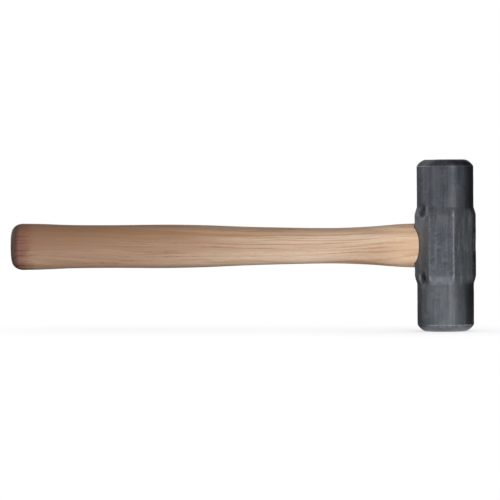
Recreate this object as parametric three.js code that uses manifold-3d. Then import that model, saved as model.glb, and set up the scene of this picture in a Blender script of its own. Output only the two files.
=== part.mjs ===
// A short-handled double-face sledgehammer: a 4 lb forged steel head wedged on a hickory handle.
// Millimetres, +Z up. The origin is the centre of the lower striking face, which the hammer stands on.
// The head's axis is +Z, the eye runs through it along X, and the handle leaves it towards -X.
import * as THREE from "three";
import { mergeVertices } from "three/addons/utils/BufferGeometryUtils.js";
import Module from "manifold-3d";

// Driving dimensions of the head
const HEAD_LENGTH = 140; // from striking face to striking face
const POLE_FLATS = 45; // across the flats of the two octagonal poles
const FACE_BEVEL_WIDTH = 6.4;
const FACE_BEVEL_HEIGHT = 5.8;

// The thicker block around the eye
const BLOCK_WIDTH = 48.4; // along X, between the eye's two mouths
const BLOCK_DEPTH = 47; // along Y, across the cheeks
const BLOCK_CORNER = 14.2; // what each corner facet takes off the flats beside it
const BLOCK_LENGTH = 49; // at full width
const BLOCK_RAMP_LENGTH = 6.9; // where the block narrows to the poles
const BLOCK_RAMP_RISE = 2.1;

// The thumb-shaped scoops on the handle's side, where a pole's corner facet runs out into the block
const SCOOP_DEPTH = 0.9; // below the pole's corner facet
const SCOOP_RADIUS = 8; // across the facet and into the head
const SCOOP_HALF_HEIGHT = 10;
const SCOOP_SIDES = 32;

// The eye: an oval hourglass, narrowest in the middle of the head
const EYE_WAIST_HALF_HEIGHT = 14;
const EYE_WAIST_HALF_THICKNESS = 8.4;
const EYE_FLARE = 0.8; // added to both at the mouths
const EYE_STEPS = 8;

// The handle
const OVERALL_LENGTH = 391.2; // from the butt to the head's far side
const SHOULDER_REACH = 6; // how far the shoulder's two lips reach round the block's corner facets
const BUTT_ROUND_LENGTH = 9;
const BUTT_ROUND_HEIGHT = 7;
const BUTT_ROUND_STEPS = 5;
const GRIP_STEPS = 34;
const GRIP_FULLNESS = 2.4; // of its oval section: 2 is an ellipse, more is squarer
const OVAL_SIDES = 40;
const TENON_ROOT = 8; // how far the tenon reaches back into the shoulder
const TENON_RECESS = 2.3; // its driven end sits this far inside the eye's mouth

// The wedges
const KERF_WEDGE_LENGTH = 36;
const KERF_WEDGE_TIP = 1.2;
const KERF_WEDGE_BUTT = 5.6;
const STEP_WEDGE_LENGTH = 20;
const STEP_WEDGE_WIDTH = 11;
const STEP_WEDGE_TIP = 0.8;
const STEP_WEDGE_STEPS = 4;
const STEP_WEDGE_RISE = 0.28; // of each side at each step
const STEP_WEDGE_BARB = 0.16;
const STEP_WEDGE_OFFSET = 7; // of each steel wedge from the eye's centre

const CLEARANCE = 0.3; // between touching pieces
const PAST = 4; // how far a cutter runs past the surface that it opens

// Worked out from the driving dimensions
const EYE_HALF = BLOCK_WIDTH / 2;
const SHOULDER_X = -EYE_HALF - CLEARANCE;
const POLE_CORNER = POLE_FLATS * (1 - Math.SQRT1_2); // makes the poles regular octagons
const TENON_END_X = EYE_HALF - TENON_RECESS;
const BUTT_X = EYE_HALF - OVERALL_LENGTH;

const wasm = await Module();
wasm.setup();

function solidFrom(geometry) {
  const bare = geometry.clone();
  bare.deleteAttribute("normal");
  bare.deleteAttribute("uv");
  const merged = mergeVertices(bare);
  return new wasm.Manifold(
    new wasm.Mesh({
      numProp: 3,
      vertProperties: merged.getAttribute("position").array,
      triVerts: new Uint32Array(merged.index.array),
    }),
  );
}

function geometryFrom(solid) {
  const mesh = solid.getMesh();
  const geometry = new THREE.BufferGeometry();
  geometry.setAttribute("position", new THREE.BufferAttribute(mesh.vertProperties, 3));
  geometry.setIndex(new THREE.BufferAttribute(mesh.triVerts, 1));
  geometry.computeVertexNormals();
  return geometry;
}

// An outline with the given sides and its four corners cut off straight
function corneredOutline(width, depth, corner) {
  const x = width / 2;
  const y = depth / 2;
  const shape = new THREE.Shape();
  shape.moveTo(x, corner - y);
  shape.lineTo(x, y - corner);
  shape.lineTo(x - corner, y);
  shape.lineTo(corner - x, y);
  shape.lineTo(-x, y - corner);
  shape.lineTo(-x, corner - y);
  shape.lineTo(corner - x, -y);
  shape.lineTo(x - corner, -y);
  shape.closePath();
  return shape;
}

// A bar along Z, centred on the origin, that narrows by inset over the last ramp of each end
function taperedBar(outline, length, ramp, inset) {
  const straight = length - 2 * ramp;
  const geometry = new THREE.ExtrudeGeometry(outline, {
    depth: straight,
    bevelEnabled: true,
    bevelThickness: ramp,
    bevelSize: inset,
    bevelOffset: -inset,
    bevelSegments: 1,
  });
  return geometry.translate(0, 0, -straight / 2);
}

// How far out a point of the unit circle goes to lie on an oval of the given fullness
function ovalReach(across, up, fullness) {
  const sum = Math.abs(across) ** fullness + Math.abs(up) ** fullness;
  return sum > 0 ? sum ** (-1 / fullness) : 0;
}

// An oval bar along X: a closed cylinder whose rings take the given sections, in order of x
function ovalBar(sections, fullness = 2) {
  const last = sections.length - 1;
  const geometry = new THREE.CylinderGeometry(1, 1, 1, OVAL_SIDES, last);
  const points = geometry.getAttribute("position");
  for (let i = 0; i < points.count; i += 1) {
    const section = sections[Math.round((points.getY(i) + 0.5) * last)];
    const across = points.getZ(i);
    const up = points.getX(i);
    const reach = ovalReach(across, up, fullness);
    points.setXYZ(i, section.x, across * reach * section.halfThickness, up * reach * section.halfHeight);
  }
  return geometry;
}

// The eye's hourglass from one x to another, smaller all round by the clearance
function eyeSections(fromX, toX, clearance) {
  const sections = [];
  for (let i = 0; i <= EYE_STEPS; i += 1) {
    const x = THREE.MathUtils.lerp(fromX, toX, i / EYE_STEPS);
    const flare = EYE_FLARE * (x / EYE_HALF) ** 2 - clearance;
    sections.push({
      x,
      halfHeight: EYE_WAIST_HALF_HEIGHT + flare,
      halfThickness: EYE_WAIST_HALF_THICKNESS + flare,
    });
  }
  return sections;
}

// An ellipsoid at each end of the block, on the two corner facets beside the handle
function scoopCutters() {
  const distance = POLE_FLATS / 2 + SCOOP_RADIUS - SCOOP_DEPTH;
  const height = (BLOCK_LENGTH + BLOCK_RAMP_LENGTH) / 2;
  const cutters = [];
  for (const facing of [(3 * Math.PI) / 4, (5 * Math.PI) / 4]) {
    for (const side of [-1, 1]) {
      const cutter = new THREE.SphereGeometry(1, SCOOP_SIDES, SCOOP_SIDES / 2);
      cutter.scale(SCOOP_RADIUS, SCOOP_HALF_HEIGHT, SCOOP_RADIUS).rotateX(Math.PI / 2);
      cutter.translate(distance, 0, side * height);
      cutter.rotateZ(facing);
      cutters.push(cutter);
    }
  }
  return cutters;
}

function headGeometry() {
  const poleOutline = corneredOutline(POLE_FLATS, POLE_FLATS, POLE_CORNER);
  const poles = taperedBar(poleOutline, HEAD_LENGTH, FACE_BEVEL_HEIGHT, FACE_BEVEL_WIDTH);
  const blockOutline = corneredOutline(BLOCK_WIDTH, BLOCK_DEPTH, BLOCK_CORNER);
  const blockLength = BLOCK_LENGTH + 2 * BLOCK_RAMP_LENGTH;
  const block = taperedBar(blockOutline, blockLength, BLOCK_RAMP_LENGTH, BLOCK_RAMP_RISE);
  const eye = ovalBar(eyeSections(-EYE_HALF - PAST, EYE_HALF + PAST, 0));
  let head = solidFrom(poles).add(solidFrom(block));
  for (const cutter of scoopCutters()) {
    head = head.subtract(solidFrom(cutter));
  }
  return geometryFrom(head.subtract(solidFrom(eye)));
}

// The butt's rounded edge, from the flat end to the full size of the butt
function buttSections(halfHeight, halfThickness) {
  const sections = [];
  for (let i = 0; i < BUTT_ROUND_STEPS; i += 1) {
    const angle = (i / BUTT_ROUND_STEPS) * (Math.PI / 2);
    const inset = BUTT_ROUND_HEIGHT * (1 - Math.sin(angle));
    sections.push({
      x: BUTT_X + BUTT_ROUND_LENGTH * (1 - Math.cos(angle)),
      halfHeight: halfHeight - inset,
      halfThickness: halfThickness - inset,
    });
  }
  return sections;
}

// The handle outside the head: butt swell, grip waist, palm swell, neck and shoulder.
// Each point is x, half the height and half the thickness.
function gripSections() {
  const outline = new THREE.CatmullRomCurve3(
    [
      new THREE.Vector3(BUTT_X + BUTT_ROUND_LENGTH, 19.5, 13.4),
      new THREE.Vector3(-342, 19.2, 13.2),
      new THREE.Vector3(-316, 18.2, 12.3),
      new THREE.Vector3(-280, 17.9, 11.8),
      new THREE.Vector3(-235, 18.1, 11.9),
      new THREE.Vector3(-202, 17.5, 11.7),
      new THREE.Vector3(-170, 16.2, 11.3),
      new THREE.Vector3(-130, 15.1, 10.8),
      new THREE.Vector3(-92, 14.6, 10.7),
      new THREE.Vector3(-62, 15.7, 11.7),
      new THREE.Vector3(-38, 17.5, 13.4),
      new THREE.Vector3(SHOULDER_X, 18, 14.1),
      new THREE.Vector3(SHOULDER_X + SHOULDER_REACH, 18.1, 14.2),
    ],
    false,
    "centripetal",
  );
  const points = outline.getSpacedPoints(GRIP_STEPS);
  return points.map((p) => ({ x: p.x, halfHeight: p.y, halfThickness: p.z }));
}

// The space that the head's block takes out of the shoulder, with the clearance around it
function shoulderCutter() {
  const outline = corneredOutline(
    BLOCK_WIDTH + 2 * CLEARANCE,
    BLOCK_DEPTH + 2 * CLEARANCE,
    BLOCK_CORNER + CLEARANCE * (2 - Math.SQRT2),
  );
  const slab = new THREE.ExtrudeGeometry(outline, { depth: BLOCK_LENGTH, bevelEnabled: false });
  return slab.translate(0, 0, -BLOCK_LENGTH / 2);
}

function tenonGeometry() {
  return ovalBar(eyeSections(SHOULDER_X - TENON_ROOT, TENON_END_X, CLEARANCE));
}

// A tapered slab in plan, driven in along -X, larger all round by the clearance
function kerfWedgeBlank(clearance) {
  const tipX = TENON_END_X - KERF_WEDGE_LENGTH - clearance;
  const endX = TENON_END_X + PAST;
  const slope = (KERF_WEDGE_BUTT - KERF_WEDGE_TIP) / KERF_WEDGE_LENGTH;
  const tip = KERF_WEDGE_TIP / 2 + clearance;
  const end = tip + (slope * (endX - tipX)) / 2;
  const outline = new THREE.Shape();
  outline.moveTo(tipX, -tip);
  outline.lineTo(endX, -end);
  outline.lineTo(endX, end);
  outline.lineTo(tipX, tip);
  outline.closePath();
  const height = 2 * (EYE_WAIST_HALF_HEIGHT + EYE_FLARE + PAST);
  const slab = new THREE.ExtrudeGeometry(outline, { depth: height, bevelEnabled: false });
  return slab.translate(0, 0, -height / 2);
}

// Extrudes an outline drawn in X and Z by the given width along Y, centred on Y = 0
function acrossY(outline, width) {
  const slab = new THREE.ExtrudeGeometry(outline, { depth: width, bevelEnabled: false });
  return slab.translate(0, 0, -width / 2).rotateX(Math.PI / 2);
}

// A steel wedge whose sides rise in barbed steps towards the driven end
function stepWedgeGeometry() {
  const pitch = STEP_WEDGE_LENGTH / STEP_WEDGE_STEPS;
  const tipX = TENON_END_X - STEP_WEDGE_LENGTH;
  const side = [new THREE.Vector2(tipX, STEP_WEDGE_TIP / 2)];
  for (let step = 1; step <= STEP_WEDGE_STEPS; step += 1) {
    const x = tipX + step * pitch;
    const half = STEP_WEDGE_TIP / 2 + step * STEP_WEDGE_RISE;
    side.push(new THREE.Vector2(x, half + STEP_WEDGE_BARB));
    if (step < STEP_WEDGE_STEPS) {
      side.push(new THREE.Vector2(x, half));
    }
  }
  const mirrored = side.map((p) => new THREE.Vector2(p.x, -p.y)).reverse();
  return acrossY(new THREE.Shape([...mirrored, ...side]), STEP_WEDGE_WIDTH);
}

// The plain tapered slot that a steel wedge has opened in the wood
function stepWedgeSlot() {
  const tipX = TENON_END_X - STEP_WEDGE_LENGTH - CLEARANCE;
  const endX = TENON_END_X + PAST;
  const tip = STEP_WEDGE_TIP / 2 + STEP_WEDGE_BARB + CLEARANCE;
  const slope = (STEP_WEDGE_RISE * STEP_WEDGE_STEPS) / STEP_WEDGE_LENGTH;
  const end = tip + slope * (endX - tipX);
  const outline = new THREE.Shape();
  outline.moveTo(tipX, -tip);
  outline.lineTo(endX, -end);
  outline.lineTo(endX, end);
  outline.lineTo(tipX, tip);
  outline.closePath();
  return acrossY(outline, STEP_WEDGE_WIDTH + 2 * CLEARANCE);
}

function withStepWedgeSlots(solid) {
  let cut = solid;
  for (const side of [-1, 1]) {
    const slot = stepWedgeSlot().translate(0, 0, side * STEP_WEDGE_OFFSET);
    cut = cut.subtract(solidFrom(slot));
  }
  return cut;
}

function handleGeometry() {
  const grip = gripSections();
  const butt = buttSections(grip[0].halfHeight, grip[0].halfThickness);
  const turned = ovalBar([...butt, ...grip], GRIP_FULLNESS);
  const shouldered = solidFrom(turned).subtract(solidFrom(shoulderCutter()));
  const wood = shouldered.add(solidFrom(tenonGeometry()));
  const kerfed = wood.subtract(solidFrom(kerfWedgeBlank(CLEARANCE)));
  return geometryFrom(withStepWedgeSlots(kerfed));
}

function kerfWedgeGeometry() {
  const wedge = solidFrom(kerfWedgeBlank(0)).intersect(solidFrom(tenonGeometry()));
  return geometryFrom(withStepWedgeSlots(wedge));
}

function piece(name, geometry, color, roughness, metalness) {
  const material = new THREE.MeshStandardMaterial({ color, roughness, metalness });
  const mesh = new THREE.Mesh(geometry, material);
  mesh.name = name;
  return mesh;
}

const head = piece("steel_head", headGeometry(), 0x55595f, 0.45, 0.9);
const handle = piece("hickory_handle", handleGeometry(), 0xcca684, 0.5, 0);
const kerfWedge = piece("kerf_wedge", kerfWedgeGeometry(), 0x9c7149, 0.7, 0);

const stepWedges = [
  ["step_wedge_upper", 1],
  ["step_wedge_lower", -1],
].map(([name, side]) => {
  const wedge = piece(name, stepWedgeGeometry(), 0x8b8e91, 0.4, 0.9);
  wedge.position.z = side * STEP_WEDGE_OFFSET;
  return wedge;
});

// Everything is drawn around the eye's centre, half the head's length above the lower face
const sledgehammer = new THREE.Group();
sledgehammer.position.z = HEAD_LENGTH / 2;
sledgehammer.add(head, handle, kerfWedge, ...stepWedges);

export default sledgehammer;
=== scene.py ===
"""A short-handled double-face sledgehammer: a forged steel head, wedged on a hickory handle.

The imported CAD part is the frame. The head and the handle are rebuilt here as fine meshes that replace
their CAD nodes, and the three wedges are the CAD nodes themselves with their edges softened.
Lengths are metres, in the part's own frame: +Z up the head's axis, the handle towards -X.
"""

import math

import bmesh
import bpy
import numpy as np
from mathutils import Matrix, Vector, noise


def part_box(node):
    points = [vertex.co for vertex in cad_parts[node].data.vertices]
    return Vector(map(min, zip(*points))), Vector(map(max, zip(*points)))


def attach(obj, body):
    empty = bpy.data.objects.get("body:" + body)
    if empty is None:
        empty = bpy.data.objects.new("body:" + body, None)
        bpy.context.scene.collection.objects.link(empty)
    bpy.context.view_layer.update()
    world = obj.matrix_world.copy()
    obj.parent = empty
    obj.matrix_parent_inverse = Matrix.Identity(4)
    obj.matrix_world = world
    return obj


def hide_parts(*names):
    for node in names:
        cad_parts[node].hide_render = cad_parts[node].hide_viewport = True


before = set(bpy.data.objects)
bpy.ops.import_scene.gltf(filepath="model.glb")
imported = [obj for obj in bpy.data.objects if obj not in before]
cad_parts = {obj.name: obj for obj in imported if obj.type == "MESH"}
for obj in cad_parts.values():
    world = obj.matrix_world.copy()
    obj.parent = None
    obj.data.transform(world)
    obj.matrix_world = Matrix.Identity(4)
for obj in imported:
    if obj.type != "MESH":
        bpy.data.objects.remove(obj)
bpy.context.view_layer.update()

MM = 0.001
SLIVER = 0.004 * MM  # what is smaller than this is merged away

# Read off the frame
HEAD_LOW, HEAD_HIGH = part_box("steel_head")
HANDLE_LOW, HANDLE_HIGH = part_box("hickory_handle")
HEAD_HALF = (HEAD_HIGH.z - HEAD_LOW.z) / 2
EYE_HEIGHT = HEAD_LOW.z + HEAD_HALF
BLOCK_HALF_X = HEAD_HIGH.x
BLOCK_HALF_Y = HEAD_HIGH.y
BUTT_X = HANDLE_LOW.x
TENON_END_X = HANDLE_HIGH.x

# The head's shape
POLE_HALF = 22.8 * MM  # 0.3 mm over the CAD's, which makes up for what the rounded edges take off
BLOCK_CORNER = 14.2 * MM
BLOCK_CORNER_HALF = (BLOCK_HALF_X + BLOCK_HALF_Y - BLOCK_CORNER) / math.sqrt(2)
BLOCK_FULL_TO = 24.5 * MM  # from the middle of the head
BLOCK_GONE_BY = 31.4 * MM
BEVEL_WIDTH = 6.4 * MM
BEVEL_HEIGHT = 5.8 * MM
BEVEL_BULGE = 1.4  # 1 is a straight chamfer, 2 a round edge
POLE_SHARPNESS = 16  # of the vertical edges: a higher power is a tighter radius
BLOCK_SHARPNESS = 62
HEAD_SIDES = 320
HEAD_ROW = 0.7 * MM
BEVEL_ROWS = 26
FACE_ROWS = 20
HEAD_SHARP = 50  # degrees: a sharper edge is shaded as an edge

# The forging's unevenness: depths in millimetres, sizes, and two levels of the noise
WAVE_DEPTH = 0.09
WAVE_SIZE = 13 * MM
RIPPLE_DEPTH = 0.035
RIPPLE_SIZE = 3.2 * MM
DENT_DEPTH = 0.5
DENT_SIZE = 5.5 * MM
DENT_RARITY = 0.42
HIGH_SPOT = 0.1  # what stands higher than this is hammered flat

SCOOP_FACINGS = (0.75 * math.pi, 1.25 * math.pi)  # the two corner facets beside the handle
SCOOP_HEIGHT = 28.2 * MM
SCOOP_RADIUS = 8 * MM
SCOOP_HALF_HEIGHT = 10 * MM
SCOOP_DEPTH = 0.9 * MM
SCOOP_BLEND = 0.35 * MM

# The eye, narrowest in the middle of the head
EYE_HALF_HEIGHT = 14 * MM
EYE_HALF_THICKNESS = 8.4 * MM
EYE_FLARE = 0.8 * MM
EYE_CLEARANCE = 0.3 * MM
EYE_SINK = 0.7 * MM  # the countersink at each mouth
EYE_CUTTER_PAST = 2 * MM
EYE_SIDES = 96
EYE_WALL_REACH = 1.02  # of the mouth's size: what is inside it is the eye's wall
EYE_WALL_HOLLOW = 0.2

# The handle's outline: x, half the height, half the thickness
BUTT_ROUND_LENGTH = 9 * MM
BUTT_ROUND_HEIGHT = 7 * MM
GRIP_OUTLINE = [
    (-342, 19.2, 13.2),
    (-316, 18.2, 12.3),
    (-280, 17.9, 11.8),
    (-235, 18.1, 11.9),
    (-202, 17.5, 11.7),
    (-170, 16.2, 11.3),
    (-130, 15.1, 10.8),
    (-92, 14.6, 10.7),
    (-62, 15.7, 11.7),
    (-38, 17.5, 13.4),
    (-24.5, 18.0, 14.1),
    (-18.5, 18.1, 14.2),
]
BUTT_SIZE = (19.5, 13.4)
GRIP_FULLNESS = 2.4  # 2 is an ellipse, more is squarer
HANDLE_SIDES = 128
HANDLE_ROW = 1.6 * MM
HANDLE_SHARP = 40
TENON_ROOT = 8 * MM  # how far inside the handle the tenon starts

# The wedges' slots in the tenon
KERF_LENGTH = 36.3 * MM
KERF_TIP = 0.9 * MM  # half the width at the narrow end
KERF_END = 3.15 * MM  # and at the tenon's end
STEP_SLOT_LENGTH = 20.3 * MM
STEP_SLOT_WIDTH = 11.6 * MM
STEP_SLOT_TIP = 0.86 * MM
STEP_SLOT_END = 1.98 * MM
STEP_SLOT_OFFSET = 7 * MM
SLOT_PAST = 3 * MM  # how far a cutter goes on beyond the tenon's end
KERF_REACH = EYE_HALF_HEIGHT + 4 * MM

# The wedges' softened edges
KERF_WEDGE_EDGE = 0.15 * MM
STEP_WEDGE_EDGE = 0.2 * MM

# The camera
CAMERA_AWAY = 2.3
CAMERA_YAW = math.radians(7.8)  # of the head as the camera sees it
CAMERA_AIM = Vector((-0.163, 0, 0.0667))
CAMERA_RISE = math.radians(1)
CAMERA_ROLL = math.radians(0.4)
CAMERA_LENS = 204.2
SENSOR = 36

# The studio
FLOOR_SHADOW_REACH = 0.12
FLOOR_SHADOW = 0.6
ROOM_FRONT = 0.42
ROOM_BACK = 0.03
FLOOR_HALF = 6
LIGHTS = [  # name, place, aim, size, power in watts
    ("key", (0.15, -0.5, 0.22), (-0.02, 0, 0.07), (0.35, 0.2), 1.35),
    ("back", (-0.5, 0.9, 0.3), (-0.15, 0, 0.07), (0.8, 0.4), 6),
]


def smooth(x):
    """0 to 1 with level ends."""
    t = np.clip(x, 0, 1)
    return t * t * (3 - 2 * t)


def fractal(points, size, octaves, seed):
    """Smooth noise from -1 to 1 at each point, with features of the given size."""
    offset = Vector((seed * 17.3, seed * 5.1, seed * 9.7))
    values = [
        noise.fractal(Vector(p) / size + offset, 1.0, 2.0, octaves, noise_basis="PERLIN_ORIGINAL")
        for p in points
    ]
    return np.array(values)


# ---------------------------------------------------------------- meshes


def mesh_object(name, vertices, faces):
    mesh = bpy.data.meshes.new(name)
    mesh.from_pydata([tuple(v) for v in vertices], [], faces)
    mesh.validate()
    piece = bpy.data.objects.new(name, mesh)
    bpy.context.scene.collection.objects.link(piece)
    return piece


def grid_faces(rows, columns):
    """Faces of a tube of rings that closes on a first and a last single vertex."""
    last = rows * columns
    faces = []
    for column in range(columns):
        after = (column + 1) % columns
        faces.append((last, after, column))
        faces.append((last + 1, (rows - 1) * columns + column, (rows - 1) * columns + after))
    for row in range(rows - 1):
        low, high = row * columns, (row + 1) * columns
        for column in range(columns):
            after = (column + 1) % columns
            faces.append((low + column, low + after, high + after, high + column))
    return faces


def head_profile():
    """(inset from the flats, height from the middle) from the head's middle to the face's centre."""
    start = HEAD_HALF - BEVEL_HEIGHT
    points = [(0, height) for height in np.arange(HEAD_ROW / 2, start, HEAD_ROW)]
    for angle in np.linspace(0, math.pi / 2, BEVEL_ROWS):
        inset = BEVEL_WIDTH * (1 - math.cos(angle) ** (2 / BEVEL_BULGE))
        points.append((inset, start + BEVEL_HEIGHT * math.sin(angle) ** (2 / BEVEL_BULGE)))
    for share in np.linspace(0.06, 0.97, FACE_ROWS):
        points.append((BEVEL_WIDTH + (POLE_HALF - BEVEL_WIDTH) * share, HEAD_HALF))
    return np.array(points)


def head_radius(angles, inset, height):
    """Distance of the head's surface from its axis, for arrays of angles, insets and heights."""
    up = np.abs(height)
    ramp = np.clip((BLOCK_GONE_BY - up) / (BLOCK_GONE_BY - BLOCK_FULL_TO), 0, 1)
    share = 0.5 * ramp + 0.5 * smooth(ramp)
    flat_x, corner, flat_y = (
        POLE_HALF + (block - POLE_HALF) * share - inset
        for block in (BLOCK_HALF_X, BLOCK_CORNER_HALF, BLOCK_HALF_Y)
    )
    halves = (flat_x, corner, flat_y, corner)
    power = POLE_SHARPNESS + (BLOCK_SHARPNESS - POLE_SHARPNESS) * share
    total = np.zeros(np.broadcast(angles, height).shape)
    for facet in range(8):
        facing = np.maximum(np.cos(angles - facet * math.pi / 4), 0)
        total += (facing * POLE_HALF / halves[facet % 4]) ** power
    radius = POLE_HALF / total ** (1 / power)
    return scooped(radius, angles, up)


def scooped(radius, angles, up):
    """The radius cut back by the thumb-shaped scoops at the ends of the corner facets."""
    reach = POLE_HALF + SCOOP_RADIUS - SCOOP_DEPTH
    share = 1 - ((up - SCOOP_HEIGHT) / SCOOP_HALF_HEIGHT) ** 2
    for facing in SCOOP_FACINGS:
        along = reach * np.cos(angles - facing)
        inside = along**2 - reach**2 + SCOOP_RADIUS**2 * share
        entry = np.where(inside > 0, along - np.sqrt(np.maximum(inside, 0)), 1)
        entry = np.where(entry > 0, entry, 1)
        gap = (radius - entry) / SCOOP_BLEND
        radius = radius - SCOOP_BLEND * np.logaddexp(0, np.clip(gap, -40, 40))
    return radius


def grid_curvature(points, reach):
    """How sharply a grid of points bends at each point, positive where it is convex, per metre."""
    down = np.roll(points, reach, axis=0)
    up = np.roll(points, -reach, axis=0)
    left = np.roll(points, reach, axis=1)
    right = np.roll(points, -reach, axis=1)
    normal = np.cross(right - left, up - down)
    normal /= np.maximum(np.linalg.norm(normal, axis=2, keepdims=True), 1e-12)
    bend = np.zeros(points.shape[:2])
    for a, b in ((down, up), (left, right)):
        span = np.maximum(np.linalg.norm(b - a, axis=2) / 2, 0.2 * MM)
        bend += -np.einsum("ijk,ijk->ij", a + b - 2 * points, normal) / span**2
    bend[:reach] = 0
    bend[-reach:] = 0
    return bend, normal


def store(piece, name, values):
    attribute = piece.data.attributes.new(name, "FLOAT", "POINT")
    attribute.data.foreach_set("value", np.asarray(values, np.float32))


def forged_head():
    """The solid head before its eye is cut, with its wear and hollows stored for the steel."""
    upper = head_profile()
    lower = upper[::-1] * np.array([1, -1])
    profile = np.vstack([lower, upper])
    angles = np.arange(HEAD_SIDES) * 2 * math.pi / HEAD_SIDES
    radius = head_radius(angles[None, :], profile[:, :1], profile[:, 1:])
    points = np.dstack(
        [
            radius * np.cos(angles),
            radius * np.sin(angles),
            np.repeat(profile[:, 1:], HEAD_SIDES, axis=1) + EYE_HEIGHT,
        ]
    )
    bend, normal = grid_curvature(points, 2)
    flat = points.reshape(-1, 3)
    waves = WAVE_DEPTH * fractal(flat, WAVE_SIZE, 2, 1) + RIPPLE_DEPTH * fractal(flat, RIPPLE_SIZE, 3, 2)
    dents = np.minimum(fractal(flat, DENT_SIZE, 1, 3) + DENT_RARITY, 0) * DENT_DEPTH
    depth = (np.minimum(waves + dents - HIGH_SPOT, 0) * MM).reshape(bend.shape)
    points = points + normal * depth[:, :, None]
    ends = [(0, 0, EYE_HEIGHT - HEAD_HALF), (0, 0, EYE_HEIGHT + HEAD_HALF)]
    rows = len(profile)
    head = mesh_object("forged_head", [*points.reshape(-1, 3), *ends], grid_faces(rows, HEAD_SIDES))
    sharp = np.append(np.clip(bend * 0.9 * MM, -1, 1).ravel(), [0, 0])
    store(head, "wear", np.maximum(sharp, 0))
    store(head, "hollow", np.maximum(-sharp, 0))
    return head


def darken_eye(head):
    """The eye's wall keeps the black oxide of its forging."""
    mesh = head.data
    points = np.empty(len(mesh.vertices) * 3)
    mesh.vertices.foreach_get("co", points)
    _, y, z = points.reshape(-1, 3).T
    across = y / (EYE_HALF_THICKNESS + EYE_FLARE)
    up = (z - EYE_HEIGHT) / (EYE_HALF_HEIGHT + EYE_FLARE)
    hollow = np.empty(len(mesh.vertices))
    mesh.attributes["hollow"].data.foreach_get("value", hollow)
    hollow[np.hypot(across, up) < EYE_WALL_REACH] = EYE_WALL_HOLLOW
    mesh.attributes["hollow"].data.foreach_set("value", hollow)


def oval_tube(name, sections, sides, fullness=2):
    """A closed bar along X through sections of (x, half height, half thickness)."""
    angles = np.arange(sides) * 2 * math.pi / sides
    across, up = np.cos(angles), np.sin(angles)
    reach = (np.abs(across) ** fullness + np.abs(up) ** fullness) ** (-1 / fullness)
    table = np.array(sections)
    points = np.dstack(
        [
            np.repeat(table[:, :1], sides, axis=1),
            table[:, 2:] * across * reach,
            EYE_HEIGHT + table[:, 1:2] * up * reach,
        ]
    )
    ends = [(table[0, 0], 0, EYE_HEIGHT), (table[-1, 0], 0, EYE_HEIGHT)]
    return mesh_object(name, [*points.reshape(-1, 3), *ends], grid_faces(len(table), sides))


def prism(name, outline, low, high, plane):
    """An outline drawn in the XY or the XZ plane, extruded along the third axis."""
    count = len(outline)
    vertices = []
    for level in (low, high):
        for x, across in outline:
            vertices.append((x, across, level) if plane == "XY" else (x, level, across))
    faces = [tuple(range(count))[::-1], tuple(range(count, 2 * count))]
    for i in range(count):
        j = (i + 1) % count
        faces.append((i, j, count + j, count + i))
    if plane == "XZ":
        faces = [face[::-1] for face in faces]
    return mesh_object(name, vertices, faces)


def boolean(piece, tool, operation):
    """Cuts or joins a tool into a piece and removes the tool."""
    modifier = piece.modifiers.new(operation, "BOOLEAN")
    modifier.operation = operation
    modifier.object = tool
    modifier.solver = "EXACT"
    bpy.context.view_layer.update()
    graph = bpy.context.evaluated_depsgraph_get()
    made = bpy.data.meshes.new_from_object(piece.evaluated_get(graph), depsgraph=graph)
    piece.modifiers.clear()
    old, piece.data = piece.data, made
    bpy.data.meshes.remove(old)
    bpy.data.objects.remove(tool)


def finish_surface(piece, angle):
    """Clears the slivers that the cuts leave, then shades smooth, broken at edges sharper than the angle."""
    mesh = bmesh.new()
    mesh.from_mesh(piece.data)
    bmesh.ops.remove_doubles(mesh, verts=mesh.verts, dist=SLIVER)
    bmesh.ops.dissolve_degenerate(mesh, edges=mesh.edges, dist=SLIVER)
    loose = [vertex for vertex in mesh.verts if not vertex.link_faces]
    bmesh.ops.delete(mesh, geom=loose, context="VERTS")
    mesh.to_mesh(piece.data)
    mesh.free()
    piece.data.shade_smooth()
    piece.data.set_sharp_from_angle(angle=math.radians(angle))


def eye_sections(from_x, to_x, clearance, steps):
    """The eye's sections, smaller by the clearance all round."""
    sections = []
    for x in np.linspace(from_x, to_x, steps + 1):
        flare = EYE_FLARE * (x / BLOCK_HALF_X) ** 2 - clearance
        sections.append((x, EYE_HALF_HEIGHT + flare, EYE_HALF_THICKNESS + flare))
    return sections


def eye_cutter():
    """The eye with a small countersink at each mouth."""
    middle = eye_sections(-BLOCK_HALF_X + EYE_SINK, BLOCK_HALF_X - EYE_SINK, 0, 16)
    far = BLOCK_HALF_X + EYE_CUTTER_PAST
    half_height = middle[0][1] + EYE_SINK + EYE_CUTTER_PAST
    half_thickness = middle[0][2] + EYE_SINK + EYE_CUTTER_PAST
    ends = [(-far, half_height, half_thickness), (far, half_height, half_thickness)]
    return oval_tube("eye_cutter", [ends[0], *middle, ends[1]], EYE_SIDES)


def spline(points, x):
    """A Catmull-Rom curve through (x, a, b) points, read at x."""
    table = np.array(points, float)
    known = table[:, 0]
    i = int(np.clip(np.searchsorted(known, x) - 1, 0, len(known) - 2))
    before, start, end, after = (table[int(np.clip(j, 0, len(known) - 1))] for j in range(i - 1, i + 3))
    width = end[0] - start[0]
    t = (x - start[0]) / width
    slope_start = (end[1:] - before[1:]) / (end[0] - before[0]) * width
    slope_end = (after[1:] - start[1:]) / (after[0] - start[0]) * width
    return (
        (2 * t**3 - 3 * t**2 + 1) * start[1:]
        + (t**3 - 2 * t**2 + t) * slope_start
        + (3 * t**2 - 2 * t**3) * end[1:]
        + (t**3 - t**2) * slope_end
    )


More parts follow.
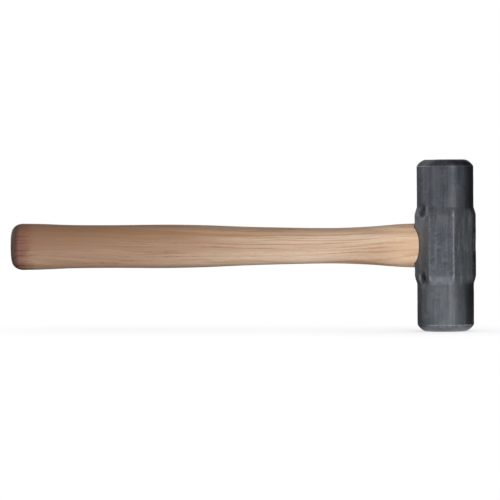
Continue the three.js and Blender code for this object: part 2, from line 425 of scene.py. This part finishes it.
def grip_sections():
    """The handle's sections, from the rounded butt to a little way inside the eye block."""
    full_x = BUTT_X + BUTT_ROUND_LENGTH
    outline = [(full_x / MM, *BUTT_SIZE), *GRIP_OUTLINE]
    half_height, half_thickness = (size * MM for size in BUTT_SIZE)
    sections = []
    for share in (0.04, 0.3, 0.6, 0.85):
        inset = BUTT_ROUND_HEIGHT
        sections.append((BUTT_X, (half_height - inset) * share, (half_thickness - inset) * share))
    for angle in np.linspace(0, math.pi / 2, 12, endpoint=False):
        inset = BUTT_ROUND_HEIGHT * (1 - math.sin(angle))
        x = BUTT_X + BUTT_ROUND_LENGTH * (1 - math.cos(angle))
        sections.append((x, half_height - inset, half_thickness - inset))
    for x in np.arange(full_x, outline[-1][0] * MM, HANDLE_ROW):
        height, thickness = spline(outline, x / MM)
        sections.append((x, height * MM, thickness * MM))
    return sections


def block_outline(clearance):
    """The eye block's plan, larger by the clearance all round."""
    x = BLOCK_HALF_X + clearance
    y = BLOCK_HALF_Y + clearance
    corner = BLOCK_CORNER + clearance * (2 - math.sqrt(2))
    return [
        (x, corner - y),
        (x, y - corner),
        (x - corner, y),
        (corner - x, y),
        (-x, y - corner),
        (-x, corner - y),
        (corner - x, -y),
        (x - corner, -y),
    ]


def slot_outline(length, tip, end, middle):
    """A slot in the tenon's end, widening outwards, from its half widths at the tip and the end."""
    tip_x = TENON_END_X - length
    end_x = TENON_END_X + SLOT_PAST
    wide = end + (end - tip) / length * SLOT_PAST
    return [(tip_x, middle - tip), (end_x, middle - wide), (end_x, middle + wide), (tip_x, middle + tip)]


def kerf_cutter():
    outline = slot_outline(KERF_LENGTH, KERF_TIP, KERF_END, 0)
    return prism("kerf_cutter", outline, EYE_HEIGHT - KERF_REACH, EYE_HEIGHT + KERF_REACH, "XY")


def step_slot_cutter(side):
    middle = EYE_HEIGHT + side * STEP_SLOT_OFFSET
    outline = slot_outline(STEP_SLOT_LENGTH, STEP_SLOT_TIP, STEP_SLOT_END, middle)
    return prism("step_slot_cutter", outline, -STEP_SLOT_WIDTH / 2, STEP_SLOT_WIDTH / 2, "XZ")


def hickory_handle():
    """The turned grip, cut to fit round the eye block, with its tenon, kerf and wedge slots."""
    handle = oval_tube("turned_handle", grip_sections(), HANDLE_SIDES, GRIP_FULLNESS)
    low, high = EYE_HEIGHT - BLOCK_FULL_TO, EYE_HEIGHT + BLOCK_FULL_TO
    block = prism("shoulder_cutter", block_outline(EYE_CLEARANCE), low, high, "XY")
    boolean(handle, block, "DIFFERENCE")
    root = -BLOCK_HALF_X - TENON_ROOT
    tenon = oval_tube("tenon", eye_sections(root, TENON_END_X, EYE_CLEARANCE, 20), EYE_SIDES)
    boolean(handle, tenon, "UNION")
    boolean(handle, kerf_cutter(), "DIFFERENCE")
    for side in (-1, 1):
        boolean(handle, step_slot_cutter(side), "DIFFERENCE")
    return handle


# ---------------------------------------------------------------- materials


class Nodes:
    """Builds a node tree in short steps."""

    def __init__(self, tree):
        self.tree = tree

    def add(self, kind, **settings):
        node = self.tree.nodes.new(kind)
        for key, value in settings.items():
            setattr(node, key, value)
        return node

    def feed(self, socket, value):
        if isinstance(value, bpy.types.NodeSocket):
            self.tree.links.new(value, socket)
        else:
            socket.default_value = value

    def math(self, operation, a, b=0.0):
        node = self.add("ShaderNodeMath", operation=operation)
        for socket, value in zip(node.inputs, (a, b)):
            self.feed(socket, value)
        return node.outputs[0]

    def vector(self, operation, a, b=(0, 0, 0)):
        node = self.add("ShaderNodeVectorMath", operation=operation)
        self.feed(node.inputs[0], a)
        self.feed(node.inputs[1], b)
        return node.outputs["Value"] if operation in ("DOT_PRODUCT", "DISTANCE") else node.outputs[0]

    def parts(self, value):
        node = self.add("ShaderNodeSeparateXYZ")
        self.feed(node.inputs[0], value)
        return node.outputs

    def join(self, x, y, z):
        node = self.add("ShaderNodeCombineXYZ")
        for socket, value in zip(node.inputs, (x, y, z)):
            self.feed(socket, value)
        return node.outputs[0]

    def noise(self, size, detail=2.0, stretch=(1, 1, 1), place=None, roughness=0.5):
        """Noise from 0 to 1 with features of the given size in millimetres, longer along the stretch."""
        scaled = self.vector("DIVIDE", place or self.place, tuple(size * s for s in stretch))
        node = self.add("ShaderNodeTexNoise")
        self.feed(node.inputs["Vector"], scaled)
        node.inputs["Scale"].default_value = 1
        node.inputs["Detail"].default_value = detail
        node.inputs["Roughness"].default_value = roughness
        return node.outputs["Fac"]

    def attribute(self, name):
        return self.add("ShaderNodeAttribute", attribute_name=name).outputs["Fac"]

    def ramp(self, value, low, high, start=0.0, end=1.0, kind="SMOOTHSTEP"):
        node = self.add("ShaderNodeMapRange", interpolation_type=kind)
        for socket, number in zip(node.inputs, (value, low, high, start, end)):
            self.feed(socket, number)
        return node.outputs[0]

    def mix(self, share, a, b):
        node = self.add("ShaderNodeMix", data_type="RGBA")
        for socket, value in ((node.inputs[0], share), (node.inputs[6], a), (node.inputs[7], b)):
            self.feed(socket, (*value, 1) if isinstance(value, tuple) else value)
        return node.outputs[2]

    def blend(self, share, a, b):
        node = self.add("ShaderNodeMixShader")
        for socket, value in zip(node.inputs, (share, a, b)):
            self.feed(socket, value)
        return node.outputs[0]

    def bump(self, height, distance, normal=None):
        node = self.add("ShaderNodeBump")
        node.inputs["Strength"].default_value = 1
        node.inputs["Distance"].default_value = distance
        self.feed(node.inputs["Height"], height)
        if normal is not None:
            self.feed(node.inputs["Normal"], normal)
        return node.outputs[0]


class Finish(Nodes):
    """A material's nodes, with the place on the object in millimetres."""

    def __init__(self, name):
        self.material = bpy.data.materials.new(name)
        self.material.use_nodes = True
        super().__init__(self.material.node_tree)
        self.shader = self.tree.nodes["Principled BSDF"]
        place = self.add("ShaderNodeTexCoord").outputs["Object"]
        self.place = self.vector("MULTIPLY", place, (1 / MM,) * 3)

    def set(self, name, value):
        self.feed(self.shader.inputs[name], value)


def forged_steel():
    """Blackened forged steel, bright along its edges and darkest in its hollows, with painted shade on the
    poles' sides.
    """
    n = Finish("forged_steel")
    wear = n.attribute("wear")
    hollow = n.attribute("hollow")
    blotches = n.noise(14, 4, (1, 1, 1.5))
    mottle = n.noise(2.2, 4, roughness=0.6)
    pits = n.noise(0.8, 2)
    streaks = n.noise(0.5, 3, (1, 1, 26), roughness=0.65)
    bands = n.noise(2.4, 3, (1, 1, 16), roughness=0.6)
    colour = n.mix(n.ramp(blotches, 0.36, 0.66), (0.115, 0.128, 0.155), (0.168, 0.182, 0.198))
    colour = n.mix(n.ramp(bands, 0.42, 0.7, 0, 0.55), colour, (0.095, 0.102, 0.11))
    colour = n.mix(n.ramp(bands, 0.5, 0.32, 0, 0.3), colour, (0.24, 0.25, 0.255))
    colour = n.mix(n.ramp(streaks, 0.5, 0.75, 0, 0.35), colour, (0.25, 0.26, 0.27))
    colour = n.mix(n.ramp(mottle, 0.5, 0.75, 0, 0.35), colour, (0.22, 0.23, 0.24))
    colour = n.mix(n.ramp(n.noise(7, 3), 0.58, 0.8, 0, 0.35), colour, (0.17, 0.135, 0.105))
    colour = n.mix(n.ramp(pits, 0.7, 0.76, 0, 0.6), colour, (0.035, 0.037, 0.04))
    # Painted shade: the poles a little darker all round and most on their sides; and the upper pole a little
    # darker and bluer towards its top
    x, _, z = n.parts(n.place)
    from_middle = n.math("ABSOLUTE", n.math("SUBTRACT", z, EYE_HEIGHT / MM))
    pole = n.ramp(from_middle, 27, 33)
    sideways = n.math("ADD", n.math("ABSOLUTE", x), n.math("MULTIPLY", mottle, 3))
    # painted shade over the poles, strongest towards their sides
    painted_pole_shade = n.math("MULTIPLY", pole, n.ramp(sideways, 17.3, 20.8, 0.1, 0.62))
    colour = n.mix(painted_pole_shade, colour, (0.03, 0.033, 0.038))
    colour = n.mix(n.ramp(z, 92, 112, 0, 0.14), colour, (0.03, 0.035, 0.075))
    # Rubbed edges and black hollows
    edge = n.math("MULTIPLY", n.ramp(wear, 0.1, 0.55, 0, 0.75), n.ramp(mottle, 0.35, 0.6, 0.3, 1))
    colour = n.mix(edge, colour, (0.4, 0.41, 0.42))
    colour = n.mix(n.ramp(hollow, 0.04, 0.22, 0, 0.9), colour, (0.015, 0.017, 0.022))
    n.set("Base Color", colour)
    n.set("Metallic", 0.85)
    rough = n.math("ADD", n.ramp(streaks, 0.3, 0.7, 0.26, 0.36), n.ramp(mottle, 0.4, 0.8, 0, 0.1))
    n.set("Roughness", n.math("SUBTRACT", rough, n.math("MULTIPLY", edge, 0.08)))
    height = n.math("ADD", n.math("MULTIPLY", streaks, 0.35), n.math("MULTIPLY", mottle, 0.65))
    shallow = n.bump(height, 0.06 * MM)
    n.set("Normal", n.bump(n.ramp(pits, 0.66, 0.76, 1, 0), 0.05 * MM, normal=shallow))
    return n.material


def hickory():
    """Clear-finished hickory: long grain lines, open pores, and darker end grain at both ends."""
    n = Finish("hickory")
    x, y, z = n.parts(n.place)
    wander = n.math("MULTIPLY", n.math("SUBTRACT", n.noise(24, 2, (5, 1, 1)), 0.5), 10)
    up = n.math("SUBTRACT", z, EYE_HEIGHT / MM)
    across = n.math("ADD", n.math("MULTIPLY", up, 0.92), n.math("MULTIPLY", y, 0.4))
    grain = n.math("ADD", n.math("ADD", across, n.math("MULTIPLY", x, 0.008)), wander)
    board = n.join(x, grain, n.math("MULTIPLY", y, 0.25))
    late = n.ramp(n.noise(1.3, 3, (75, 1, 1), board, 0.55), 0.5, 0.66)
    fibres = n.noise(0.4, 3, (50, 1, 1), roughness=0.6)
    broad = n.noise(5.5, 3, (24, 1, 1), board)
    pores = n.noise(0.3, 1, (15, 1, 1))
    pore = n.math("MULTIPLY", n.ramp(pores, 0.62, 0.7), n.ramp(late, 0, 0.7, 0.35, 1))
    # Clean wood: broad bands, late wood lines and fibres
    colour = n.mix(n.ramp(broad, 0.32, 0.68), (0.54, 0.362, 0.25), (0.72, 0.54, 0.4))
    colour = n.mix(n.math("MULTIPLY", late, 0.75), colour, (0.4, 0.215, 0.105))
    colour = n.mix(n.ramp(fibres, 0.42, 0.72, 0, 0.45), colour, (0.45, 0.28, 0.165))
    # An orange streak and a dark band along the grip
    streak = n.ramp(n.math("ABSOLUTE", n.math("SUBTRACT", grain, 5)), 2.2, 0.4, 0, 0.75)
    streak = n.math("MULTIPLY", streak, n.ramp(x, -120, -180))
    colour = n.mix(streak, colour, (0.5, 0.23, 0.08))
    band = n.ramp(n.math("ABSOLUTE", n.math("SUBTRACT", grain, 1.4)), 2.3, 0.4, 0, 0.4)
    band = n.math("MULTIPLY", band, n.ramp(x, -170, -240))
    colour = n.mix(band, colour, (0.3, 0.16, 0.09))
    colour = n.mix(n.math("MULTIPLY", pore, 0.6), colour, (0.2, 0.105, 0.05))
    # Darker towards the butt, partly dirt on the grip and partly painted shade, with more painted shade on
    # the grip's top side; the lighter, warmer wood beside the head is painted light
    grime_and_painted_shade = n.math("MULTIPLY", n.ramp(x, -60, -330, 0, 0.9), n.ramp(up, -14, 6, 0.7, 1))
    colour = n.mix(grime_and_painted_shade, colour, (0.33, 0.175, 0.095))
    # painted light: lighter, warmer wood beside the head
    colour = n.mix(n.ramp(x, -60, -30, 0, 0.3), colour, (0.8, 0.52, 0.3))
    # The soaked butt and its end grain, darkest on the rounded end, partly end grain and partly painted
    # shade, and the tenon's end grain
    ragged = n.math("MULTIPLY", n.noise(1.6, 3, (4, 1, 1)), 16)
    soaked = n.math("ADD", ragged, n.math("MULTIPLY", broad, 6))
    end = n.ramp(n.math("ADD", x, soaked), -332, -345, 0, 0.92)
    end_colour = n.mix(n.ramp(late, 0.2, 0.9), (0.285, 0.118, 0.075), (0.16, 0.062, 0.04))
    dots = n.ramp(n.noise(0.45, 1), 0.6, 0.7, 0, 0.7)
    face = n.mix(n.ramp(late, 0.1, 0.8), (0.1, 0.052, 0.035), (0.045, 0.023, 0.016))
    face = n.mix(dots, face, (0.025, 0.013, 0.01))
    # partly painted shade: the end grain's darkest colour runs onto the butt's rounded edge
    end_colour = n.mix(n.ramp(x, -357.2, -361.8), end_colour, face)
    colour = n.mix(end, colour, end_colour)
    tenon = n.mix(n.ramp(late, 0.1, 0.8), (0.23, 0.135, 0.075), (0.12, 0.065, 0.035))
    tenon = n.mix(dots, tenon, (0.04, 0.022, 0.014))
    colour = n.mix(n.ramp(x, 20.5, 21.6, 0, 0.9), colour, tenon)
    n.set("Base Color", colour)
    n.set("Roughness", n.ramp(fibres, 0.3, 0.75, 0.42, 0.58))
    n.set("Coat Weight", 0.1)
    n.set("Coat Roughness", 0.3)
    height = n.math("SUBTRACT", n.math("MULTIPLY", fibres, 0.5), n.math("MULTIPLY", pore, 0.8))
    n.set("Normal", n.bump(height, 0.12 * MM))
    return n.material


def wedge_wood():
    """Darker close-grained hardwood, seen end on at the tenon's end."""
    n = Finish("wedge_wood")
    fibres = n.noise(0.5, 3, (14, 1, 1))
    bands = n.noise(2.2, 2, (6, 0.6, 2))
    colour = n.mix(n.ramp(bands, 0.35, 0.7), (0.3, 0.17, 0.085), (0.42, 0.26, 0.14))
    colour = n.mix(n.ramp(fibres, 0.5, 0.75, 0, 0.6), colour, (0.16, 0.085, 0.04))
    n.set("Base Color", colour)
    n.set("Roughness", n.ramp(fibres, 0.3, 0.7, 0.6, 0.8))
    n.set("Normal", n.bump(fibres, 0.1 * MM))
    return n.material


def wedge_steel():
    """Bare mild steel, hammered bright on its end, with a little rust."""
    n = Finish("wedge_steel")
    scratches = n.noise(0.35, 3, (1, 12, 1))
    rust = n.noise(1.6, 4, roughness=0.65)
    colour = n.mix(n.ramp(scratches, 0.35, 0.7), (0.36, 0.365, 0.37), (0.52, 0.525, 0.53))
    colour = n.mix(n.ramp(rust, 0.55, 0.75, 0, 0.75), colour, (0.2, 0.09, 0.045))
    n.set("Base Color", colour)
    n.set("Metallic", n.ramp(rust, 0.55, 0.75, 0.95, 0.3))
    n.set("Roughness", n.ramp(rust, 0.4, 0.75, 0.3, 0.7))
    n.set("Normal", n.bump(scratches, 0.05 * MM))
    return n.material


def dress(piece, material):
    piece.data.materials.clear()
    piece.data.materials.append(material)
    for polygon in piece.data.polygons:
        polygon.material_index = 0


def soften(node, width):
    """Welds a CAD node's split corners and rounds its edges, leaving its mesh as it was packed."""
    weld = node.modifiers.new("weld", "WELD")
    weld.merge_threshold = 0.01 * MM
    bevel = node.modifiers.new("bevel", "BEVEL")
    bevel.width = width
    bevel.segments = 2
    bevel.limit_method = "ANGLE"
    bevel.angle_limit = math.radians(25)


# ---------------------------------------------------------------- stage


def floor_material():
    """White paper, softly shaded where the hammer keeps light off it."""
    material = bpy.data.materials.new("pale_floor")
    material.use_nodes = True
    n = Nodes(material.node_tree)
    n.tree.nodes.clear()
    open_sky = n.add("ShaderNodeAmbientOcclusion", samples=16)
    open_sky.inputs["Distance"].default_value = FLOOR_SHADOW_REACH
    seen = n.add("ShaderNodeEmission")
    n.feed(seen.inputs["Strength"], n.ramp(open_sky.outputs["AO"], 0, 0.97, FLOOR_SHADOW, 1, "LINEAR"))
    # The light it throws back: most in front, little under and behind the hammer, some at the head's foot
    place = n.add("ShaderNodeNewGeometry").outputs["Position"]
    near = n.ramp(n.vector("DISTANCE", place, (-0.06, -0.25, 0)), 0.7, 0.15, 0.3, 1.35)
    under = n.ramp(n.parts(place)[1], -0.01, -0.09, 0.12, 1)
    base = n.ramp(n.vector("DISTANCE", place, (0.012, -0.03, 0)), 0.05, 0.02, 0, 0.7)
    bounce = n.add("ShaderNodeEmission")
    n.feed(bounce.inputs["Strength"], n.math("ADD", n.math("MULTIPLY", near, under), base))
    camera_ray = n.add("ShaderNodeLightPath").outputs["Is Camera Ray"]
    output = n.add("ShaderNodeOutputMaterial")
    n.feed(output.inputs[0], n.blend(camera_ray, bounce.outputs[0], seen.outputs[0]))
    return material


def floor():
    half = FLOOR_HALF
    vertices = [(-half, -half, 0), (half, -half, 0), (half, half, 0), (-half, half, 0)]
    piece = mesh_object("floor", vertices, [(0, 1, 2, 3)])
    piece.data.materials.append(floor_material())


def studio_world():
    """White behind the object. Its reflections see a soft room, bright in front and dim above and behind."""
    world = bpy.data.worlds.new("studio")
    bpy.context.scene.world = world
    world.use_nodes = True
    n = Nodes(world.node_tree)
    n.tree.nodes.clear()
    direction = n.add("ShaderNodeTexCoord").outputs["Generated"]

    def toward(aim, start, end, low, high):
        return n.ramp(n.vector("DOT_PRODUCT", direction, Vector(aim).normalized()), start, end, low, high)

    front = toward((-0.3, -0.95, 0), -0.45, 0.25, ROOM_BACK, ROOM_FRONT)
    above = toward((0, 0, 1), 0.1, 0.9, 1, 0.5)
    # Soft panels in front on the right, at the left, and high at the rear
    right = toward((0.66, -0.75, 0), 0.78, 1, 0, 0.9)
    left = toward((-0.99, 0.14, 0), 0.8, 1, 0, 0.55)
    rear = toward((-0.5, 0.7, 0.5), 0.6, 1, 0, 0.45)
    panels = n.math("ADD", n.math("ADD", right, left), rear)
    room = n.add("ShaderNodeBackground")
    n.feed(room.inputs["Strength"], n.math("ADD", n.math("MULTIPLY", front, above), panels))
    seen = n.add("ShaderNodeBackground")
    camera_ray = n.add("ShaderNodeLightPath").outputs["Is Camera Ray"]
    output = n.add("ShaderNodeOutputWorld")
    n.feed(seen.inputs["Color"], (1, 1, 1, 1))
    n.feed(room.inputs["Color"], (1, 1, 1, 1))
    n.feed(output.inputs[0], n.blend(camera_ray, room.outputs[0], seen.outputs[0]))


def soft_light(name, place, aim, size, power):
    """A rectangular lamp that isn't seen in reflections."""
    data = bpy.data.lights.new(name, "AREA")
    data.shape = "RECTANGLE"
    data.size, data.size_y = size
    data.energy = power
    lamp = bpy.data.objects.new(name, data)
    bpy.context.scene.collection.objects.link(lamp)
    lamp.location = place
    lamp.visible_glossy = False
    lamp.rotation_euler = (Vector(aim) - Vector(place)).to_track_quat("-Z", "Y").to_euler()


def photo_camera():
    """A long lens, a little beyond the head and slightly above it, aimed at the hammer's middle."""
    data = bpy.data.cameras.new("camera")
    data.sensor_width = SENSOR
    data.lens = CAMERA_LENS
    camera = bpy.data.objects.new("camera", data)
    bpy.context.scene.collection.objects.link(camera)
    across = CAMERA_AWAY * math.tan(CAMERA_YAW)
    reach = (Vector((across, -CAMERA_AWAY, 0)) - Vector((CAMERA_AIM.x, 0, 0))).length
    place = Vector((across, -CAMERA_AWAY, CAMERA_AIM.z + reach * math.tan(CAMERA_RISE)))
    camera.location = place
    turn = (CAMERA_AIM - place).to_track_quat("-Z", "Y").to_matrix().to_4x4()
    roll = Matrix.Rotation(-CAMERA_ROLL, 4, "Z")
    camera.rotation_euler = (turn @ roll).to_euler()
    bpy.context.scene.camera = camera


# ---------------------------------------------------------------- assembly

head = forged_head()
boolean(head, eye_cutter(), "DIFFERENCE")
darken_eye(head)
finish_surface(head, HEAD_SHARP)
dress(head, forged_steel())
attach(head, "root")
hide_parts("steel_head")

handle = hickory_handle()
finish_surface(handle, HANDLE_SHARP)
dress(handle, hickory())
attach(handle, "root")
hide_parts("hickory_handle")

kerf_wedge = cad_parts["kerf_wedge"]
dress(kerf_wedge, wedge_wood())
soften(kerf_wedge, KERF_WEDGE_EDGE)

bare_steel = wedge_steel()
for name in ("step_wedge_upper", "step_wedge_lower"):
    dress(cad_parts[name], bare_steel)
    soften(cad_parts[name], STEP_WEDGE_EDGE)

photo_camera()
floor()
studio_world()
for light in LIGHTS:
    soft_light(*light)
bpy.context.scene.view_settings.view_transform = "Standard"
